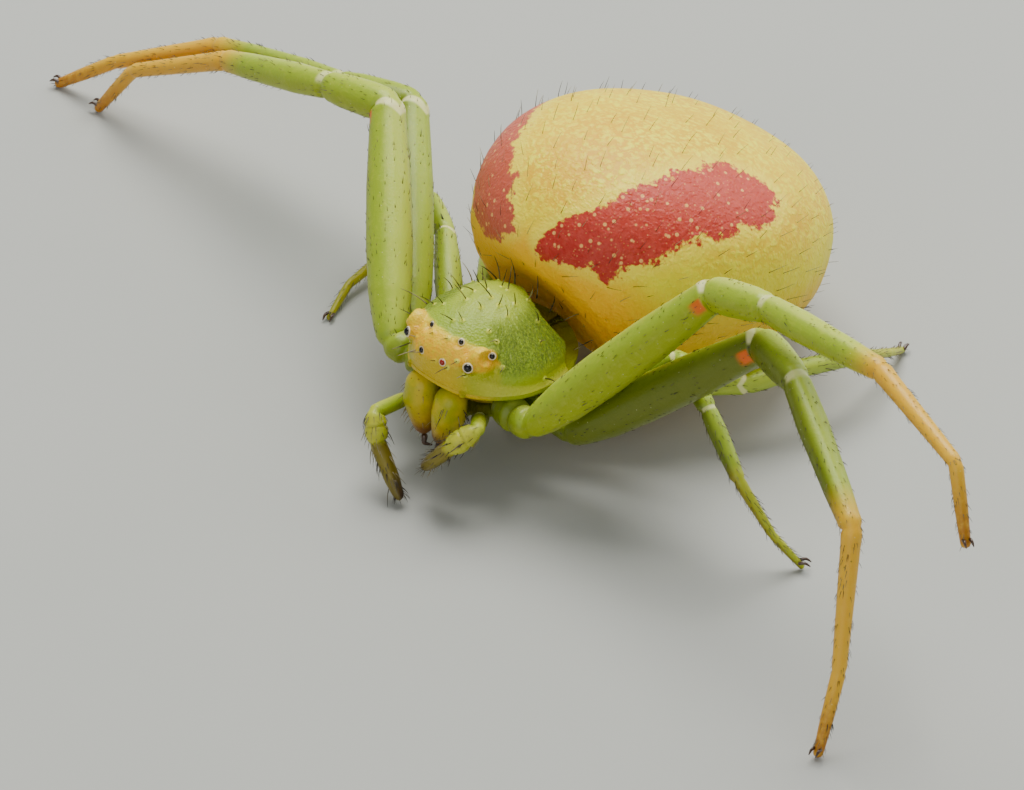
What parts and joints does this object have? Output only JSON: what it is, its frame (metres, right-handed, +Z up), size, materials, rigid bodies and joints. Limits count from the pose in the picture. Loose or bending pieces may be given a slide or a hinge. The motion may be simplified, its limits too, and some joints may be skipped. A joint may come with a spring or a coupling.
{
  "type": "crab spider",
  "caption": "Green crab spider with a round cream abdomen, two red side bands and long front legs, as a life-size still model.",
  "frame": {"origin": "bottom middle of the bounding box, on the floor under the body", "axes": "+X to the spider's left along the leg span, +Y towards its tail, +Z up"},
  "size_m": [0.02, 0.0078, 0.005],
  "materials": {
    "carapace_green": "satin",
    "leg_green": "satin",
    "foot_ochre": "satin",
    "abdomen_cream": "satin",
    "underside_yellow": "satin",
    "jaw_ochre": "satin",
    "fang_brown": "gloss",
    "eye_black": "gloss"
  },
  "bodies": {
    "root": {"abdomen": "abdomen_cream", "carapace": "carapace_green", "chelicera_L": "jaw_ochre", "chelicera_R": "jaw_ochre", "eye_front_middle_L": "eye_black", "eye_front_middle_R": "eye_black", "eye_front_outer_L": "eye_black", "eye_front_outer_R": "eye_black", "eye_rear_middle_L": "eye_black", "eye_rear_middle_R": "eye_black", "eye_rear_outer_L": "eye_black", "eye_rear_outer_R": "eye_black", "fang_L": "fang_brown", "fang_R": "fang_brown", "leg_L1_coxa": "leg_green", "leg_L1_femur": "leg_green", "leg_L1_foot": "foot_ochre", "leg_L1_tibia": "leg_green", "leg_L2_coxa": "leg_green", "leg_L2_femur": "leg_green", "leg_L2_foot": "foot_ochre", "leg_L2_tibia": "leg_green", "leg_L3_coxa": "leg_green", "leg_L3_femur": "leg_green", "leg_L3_foot": "foot_ochre", "leg_L3_tibia": "leg_green", "leg_L4_coxa": "leg_green", "leg_L4_femur": "leg_green", "leg_L4_foot": "foot_ochre", "leg_L4_tibia": "leg_green", "leg_R1_coxa": "leg_green", "leg_R1_femur": "leg_green", "leg_R1_foot": "foot_ochre", "leg_R1_tibia": "leg_green", "leg_R2_coxa": "leg_green", "leg_R2_femur": "leg_green", "leg_R2_foot": "foot_ochre", "leg_R2_tibia": "leg_green", "leg_R3_coxa": "leg_green", "leg_R3_femur": "leg_green", "leg_R3_foot": "foot_ochre", "leg_R3_tibia": "leg_green", "leg_R4_coxa": "leg_green", "leg_R4_femur": "leg_green", "leg_R4_foot": "foot_ochre", "leg_R4_tibia": "leg_green", "palp_L_femur": "leg_green", "palp_L_tarsus": "foot_ochre", "palp_L_tibia": "leg_green", "palp_R_femur": "leg_green", "palp_R_tarsus": "foot_ochre", "palp_R_tibia": "leg_green", "pedicel": "underside_yellow", "spinnerets": "underside_yellow", "sternum": "underside_yellow"}
  },
  "joints": []
}
